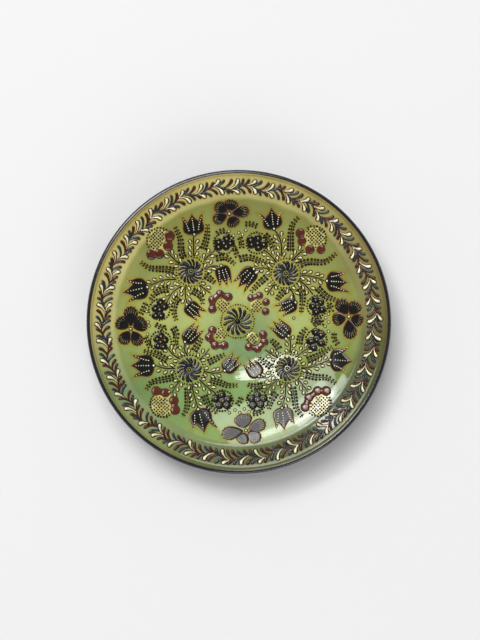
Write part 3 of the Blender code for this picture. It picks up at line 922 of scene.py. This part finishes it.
# ---------------------------------------------------------------------------
# The sprays: thin dark stems that run from each wheel to the flowers about it,
# with pairs of cream drops in brown outlines, and ferns with dark drops on both
# sides of a tapering spine.
SPRAYS = {
    "north_west": (
        [[(-48, 70), (-48, 91)], [(-66, 45.5), (-80, 44.5), (-95, 38.5)],
         [(-62, 61), (-70, 68), (-75.5, 74.5)], [(-61, 38.5), (-70, 32), (-76.5, 21.5)],
         [(-56, 39), (-57, 30), (-55, 20)], [(-42, 40), (-37, 36), (-30, 31)],
         [(-36, 56), (-30, 59.5), (-22, 60)], [(-37, 66), (-31, 72), (-25, 77)]],
        [[(-58, 68), (-61, 75), (-62, 88), (-67.5, 100.5)],
         [(-68, 54.5), (-76, 56), (-94, 57), (-103, 62.5)],
         [(-74, 35.5), (-82, 34), (-89, 30), (-94.5, 22.5)],
         [(-63, 27), (-67, 22), (-69, 12), (-66.5, 2.5)],
         [(-50, 34), (-43, 30), (-39.5, 26), (-38.5, 20)], [(-36, 50), (-30, 46), (-24.5, 41.5)],
         [(-25, 68), (-14, 69), (-5, 62.5)], [(-38, 77), (-34, 90), (-33, 103)]]),
    "north_east": (
        [[(45, 70), (45.5, 80), (43, 90), (38.5, 97)], [(66, 50.5), (80, 48), (91, 43.5)],
         [(56, 65), (62, 71), (69, 77)], [(64, 45), (72, 38), (79, 29)], [(54, 37), (58, 30), (60, 23)],
         [(38, 41), (34, 35), (30, 29)], [(34, 56), (26, 58), (18, 57)], [(40, 64), (34, 71), (27, 77)]],
        [[(55, 75), (55, 92), (57, 103), (63, 110)], [(65, 61.5), (75, 64), (91, 63.5), (102.5, 71.5)],
         [(83, 37), (92, 28), (98, 25), (105, 22.5)], [(64, 37), (68, 28), (66, 9)],
         [(49, 34), (44, 29), (40, 23)], [(30, 49), (20, 40), (13.5, 33)],
         [(0, 67), (10, 69), (20, 66.5), (32, 62)], [(27, 93), (33, 87), (38, 77)]]),
    "south_west": (
        [[(-50, -66), (-47, -78), (-43, -91)], [(-68, -49), (-78, -49), (-88, -46)],
         [(-62, -62), (-67, -68), (-71, -76)], [(-63, -39), (-71, -33), (-76, -26)],
         [(-55, -35), (-58, -28), (-57, -22)], [(-42, -40), (-36, -34), (-31, -28)],
         [(-37, -52), (-27, -54), (-17, -52.5)], [(-41, -62), (-33, -69), (-25, -75)]],
        [[(-68, -58.5), (-80, -61), (-92, -64), (-97, -71)], [(-54, -69), (-54.5, -90), (-59.5, -100)],
         [(-75, -40.5), (-88, -34), (-101, -30.5)], [(-70, -5), (-66.5, -12), (-67, -22), (-64, -28)],
         [(-48, -31), (-43, -23), (-39.5, -17)], [(-33, -43), (-25, -39), (-16, -34.5)],
         [(-31, -61), (-20, -64), (-12, -67), (-2, -67)], [(-37, -77), (-32, -88), (-22, -97)]]),
    "south_east": (
        [[(50, -65), (49, -78), (45.5, -89)], [(66, -48), (76, -48), (86, -44), (95.5, -40.5)],
         [(62, -60), (68, -67), (73, -74)], [(61, -37), (68, -31), (75, -27)],
         [(54, -33), (55, -24), (54, -16)], [(41, -38), (35, -34), (28, -29)],
         [(36, -55), (30, -59), (23, -58.5)], [(41, -60), (34, -67), (27, -74)]],
        [[(70, -56), (82, -58.5), (93, -59), (102, -65)], [(57, -68), (59, -82), (61, -92), (68, -101)],
         [(72, -40.5), (85, -35), (98, -27)], [(64, -24), (66, -14), (72, -6)],
         [(43, -29), (40, -24), (33, -18)], [(35, -48), (28, -43), (20, -37)],
         [(26, -67), (16, -68), (9, -66)], [(40, -74), (34, -84), (32, -92)]]),
}
LEAF_SPACING = 6.4
LEAFLESS_END = 3.0
FERN_SPACING = 3.5


def stations(points, first, spacing):
    """Spots at an even spacing along a smooth line: each with its heading, how far on it is, and the
    line's length."""
    line = smooth_line(points, 0.5)
    total = sum((b - a).length for a, b in zip(line, line[1:]))
    travelled, due = 0.0, first
    for before, spot in zip(line, line[1:]):
        travelled += (spot - before).length
        if travelled >= due:
            due += spacing
            yield spot, bearing_of(before, spot), travelled, total


def leaf_drop(paint, root, heading, length):
    """A cream drop in a brown outline, its point towards the stem."""
    line = placed([(0, 0), (length * 0.5, 0.15), (length, 0)], root, heading)
    rim = placed([(-0.6, 0), (length * 0.5, 0.15), (length + 0.8, 0)], root, heading)
    paint.trail(rim, (1.1, 2.25, 2.4), "bark", 0.25, 0.0, 0.9)
    paint.trail(line, (0.35, 1.15, 1.4), "ivory", 0.9, 0.25, 0.9)


def fern(paint, points):
    """A tapering spine with a drop on both sides every few millimetres."""
    paint.trail(points, (0.7, 0.6, 0.45), "black", 0.8)
    for spot, heading, travelled, total in stations(points, 1.2, FERN_SPACING):
        taper = 1 - 0.45 * (travelled / total) ** 2
        for side in (1, -1):
            touch = placed([(0.4, side * 2.5 * taper)], spot, heading)[0]
            paint.drop(touch, 1.6 * taper + 0.05, "bark", 0.6)


for corner, (stems, ferns) in SPRAYS.items():
    spray = Paint()
    for points in stems:
        spray.trail(points, (0.85, 0.75, 0.7), "black", 0.75, 0.1)
        for spot, heading, travelled, total in stations(points, 0.5, LEAF_SPACING):
            if travelled > total - LEAFLESS_END:
                break
            for side in (1, -1):
                root = placed([(hand.uniform(-0.5, 0.8), side * 2.3)], spot, heading)[0]
                leaf_drop(spray, root, heading + side * hand.uniform(25, 45), hand.uniform(4.0, 5.0))
    for points in ferns:
        fern(spray, points)
    spray.lay("painted_spray_" + corner)

# ---------------------------------------------------------------------------
# The glaze against the slip: where the clear glaze runs up against raised slip it lies thicker,
# and the green ground turns amber; the same amber ring also stands in as painted shade round the slip.
POOL_AND_SHADE_WIDTH = 3.2 * MM
tree = KDTree(len(PAINTED))
for index, point in enumerate(PAINTED):
    tree.insert(point, index)
tree.balance()
pooled_and_shade = dish.data.attributes.new("pooled_and_shade", "FLOAT", "POINT")
depths = []
for vertex in dish.data.vertices:
    away = tree.find((vertex.co.x, vertex.co.y, 0.0))[2]
    depths.append(max(0.0, 1.0 - away / POOL_AND_SHADE_WIDTH) if vertex.normal.z > 0 else 0.0)
pooled_and_shade.data.foreach_set("value", depths)

# ---------------------------------------------------------------------------
# The studio: a pale seamless floor, a large softbox high behind the plate with
# three smaller ones that draw the bright arc in the well, one almost overhead,
# a low fill in front, and a camera that looks almost straight down.
FLOOR_REACH = 4
floor_corners = [(-FLOOR_REACH, -FLOOR_REACH, 0), (FLOOR_REACH, -FLOOR_REACH, 0),
                 (FLOOR_REACH, FLOOR_REACH, 0), (-FLOOR_REACH, FLOOR_REACH, 0)]
floor_mesh = bpy.data.meshes.new("studio_floor")
floor_mesh.from_pydata(floor_corners, [], [(0, 1, 2, 3)])
paper, tree, shader, _ = shader_nodes("pale_paper")
feed(tree, shader, {"Base Color": (0.80, 0.80, 0.80, 1.0), "Roughness": 0.9, "Specular IOR Level": 0.1})
floor_mesh.materials.append(paper)
add_object("studio_floor", floor_mesh)


def softbox(name, place, width, height, power, turn=0.0, aim=(0, 0, 0)):
    """A rectangular light at a place, facing an aim and turned about its own middle."""
    lamp = bpy.data.lights.new(name, "AREA")
    lamp.shape = "RECTANGLE"
    lamp.size = width
    lamp.size_y = height
    lamp.energy = power
    holder = add_object(name, lamp)
    holder.location = place
    facing = (Vector(aim) - Vector(place)).to_track_quat("-Z", "Y")
    holder.rotation_euler = (facing @ Quaternion((0, 0, 1), math.radians(turn))).to_euler()


softbox("softbox_key", (-2.3, 5.46, 8.45), 7.3, 5.7, 607)
softbox("softbox_core", (-1.85, 2.2, 4.3), 1.1, 0.8, 13)
softbox("softbox_crescent", (-1.30, 2.66, 3.52), 2.6, 0.32, 23)
softbox("softbox_bright", (-1.78, 1.92, 2.92), 1.5, 0.34, 12)
softbox("softbox_overhead", (-0.504, 0.993, 6.0), 1.0, 0.52, 27, -20, (-0.504, 0.993, 0))
softbox("softbox_fill", (1.2, -4.4, 2.3), 4.0, 2.5, 70)

# The studio's own light: pale walls all round and a dark ceiling.
world = bpy.data.worlds.new("studio_air")
world.use_nodes = True
tree = world.node_tree
direction = tree.nodes.new("ShaderNodeTexCoord").outputs["Generated"]
upward = add_node(tree, "ShaderNodeSeparateXYZ", {"Vector": direction}).outputs["Z"]
air = ramp(tree, upward, [
    (0.25, (0.60, 0.60, 0.61)), (0.45, (0.40, 0.40, 0.41)), (0.90, (0.26, 0.26, 0.27))])
feed(tree, tree.nodes["Background"], {"Color": air})
bpy.context.scene.world = world

VIEW_HEIGHT = 0.672
CAMERA_DISTANCE = 1.9
ELEVATION = math.radians(87)
SENSOR_WIDTH = 36
camera_data = bpy.data.cameras.new("camera")
camera_data.sensor_fit = "AUTO"
camera_data.sensor_width = SENSOR_WIDTH
camera_data.lens = SENSOR_WIDTH * CAMERA_DISTANCE / VIEW_HEIGHT
camera = add_object("camera", camera_data)
aim = Vector((0.0013, 0.0013, 0.035))
camera.location = aim + Vector((0, -math.cos(ELEVATION), math.sin(ELEVATION))) * CAMERA_DISTANCE
camera.rotation_euler = (math.pi / 2 - ELEVATION, 0, 0)
bpy.context.scene.camera = camera
bpy.context.scene.view_settings.view_transform = "Standard"
